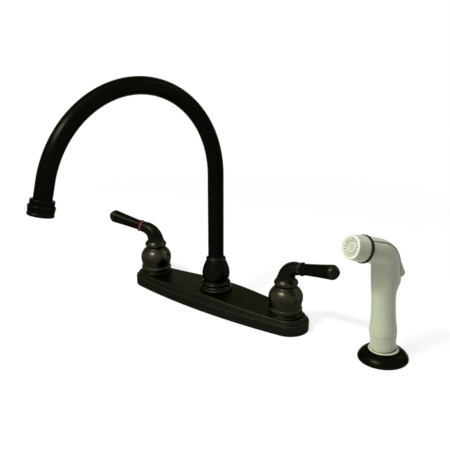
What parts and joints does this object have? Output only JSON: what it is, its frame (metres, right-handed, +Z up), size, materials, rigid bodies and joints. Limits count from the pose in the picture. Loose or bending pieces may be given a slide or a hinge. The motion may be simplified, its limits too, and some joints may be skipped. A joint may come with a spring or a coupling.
{
  "type": "two-handle kitchen tap with side sprayer",
  "caption": "Deck-mounted hot and cold kitchen tap with a swivelling gooseneck spout, bell lever handles and a separate pull-out side sprayer in its holder.",
  "frame": {"origin": "centre of the deck plate's underside, on the sink deck, below the spout", "axes": "+X towards the cold handle and the sprayer, +Y to the back, away from the user, +Z up out of the deck"},
  "size_m": [0.4154, 0.2621, 0.3363],
  "materials": {
    "bronze": "dark oil-rubbed bronze, satin gloss",
    "brass": "turned, unpolished",
    "rubber": "matt black",
    "white_plastic": "off-white, soft gloss",
    "steel": "plain",
    "grey_plastic": "moulded, matt",
    "red_enamel": "red index ring",
    "blue_enamel": "blue index ring"
  },
  "bodies": {
    "base": {"deck_plate": "bronze", "deck_gasket": "rubber", "hot_valve_body": "brass", "cold_valve_body": "brass", "cross_tubes": "brass", "spout_post": "brass", "supply_nuts": "brass", "supply_washers": "rubber", "spray_outlet_nipple": "brass", "hot_foot_ring": "bronze", "cold_foot_ring": "bronze", "plate_lock_nuts": "brass", "bonnet_nuts": "brass", "valve_seats": "rubber", "seat_springs": "steel", "hot_cartridge": "grey_plastic", "cold_cartridge": "grey_plastic", "spout_base": "bronze", "spout_thrust_washer": "grey_plastic", "diverter_body": "grey_plastic", "spray_holder": "bronze", "holder_liner": "white_plastic", "holder_gasket": "rubber", "holder_nut": "brass"},
    "hot_control": {"hot_stem": "brass", "hot_stem_seal": "rubber", "hot_handle": "bronze", "hot_index_ring": "red_enamel", "hot_lever": "bronze", "hot_set_screw": "steel"},
    "cold_control": {"cold_stem": "brass", "cold_stem_seal": "rubber", "cold_handle": "bronze", "cold_index_ring": "blue_enamel", "cold_lever": "bronze", "cold_set_screw": "steel"},
    "spout": {"spout_tube": "bronze", "spout_collar": "bronze", "spout_spigot": "brass", "spout_seals": "rubber", "spout_snap_ring": "steel", "outlet_adapter": "bronze", "aerator_housing": "bronze", "aerator_insert": "grey_plastic", "aerator_screen": "steel", "aerator_washer": "rubber"},
    "diverter": {"diverter_piston": "rubber"},
    "sprayer": {"spray_handle": "white_plastic", "spray_collar": "white_plastic", "hose_coupling": "brass", "neck_ring": "rubber", "spray_nozzle": "white_plastic", "spray_face": "white_plastic", "trigger_pin": "steel", "plunger_spring": "steel"},
    "trigger": {"spray_trigger": "white_plastic"},
    "plunger": {"spray_plunger": "brass", "plunger_seal": "rubber"}
  },
  "joints": [
    {"name": "hot_turn", "type": "hinge", "parent": "base", "child": "hot_control", "pos_m": [-0.1016, 0, 0], "axis": [0, 0, 1], "range_deg": [0, 90]},
    {"name": "cold_turn", "type": "hinge", "parent": "base", "child": "cold_control", "pos_m": [0.1016, 0, 0], "axis": [0, 0, 1], "range_deg": [-90, 0]},
    {"name": "spout_swivel", "type": "hinge", "parent": "base", "child": "spout", "pos_m": [0, 0, 0], "axis": [0, 0, 1], "continuous": true},
    {"name": "diverter_lift", "type": "slide", "parent": "base", "child": "diverter", "axis": [0, 0, 1], "range_m": [0, 0.0025]},
    {"name": "sprayer_lift", "type": "slide", "parent": "base", "child": "sprayer", "axis": [-0.0264, -0.0739, 0.9969], "range_m": [0, 0.15]},
    {"name": "trigger_press", "type": "hinge", "parent": "sprayer", "child": "trigger", "pos_m": [0.21111, -0.01954, 0.12999], "axis": [-0.9415, 0.3371, 0], "range_deg": [0, 4.5], "stiffness_Nm_per_rad": 2, "deforming": ["plunger_spring"]},
    {"name": "plunger_push", "type": "slide", "parent": "sprayer", "child": "plunger", "axis": [-0.3361, -0.9386, -0.0785], "range_m": [0, 0.00251]}
  ],
  "couplings": [
    {"joint": "plunger_push", "follows": "trigger_press", "m_per_rad": 0.032}
  ]
}
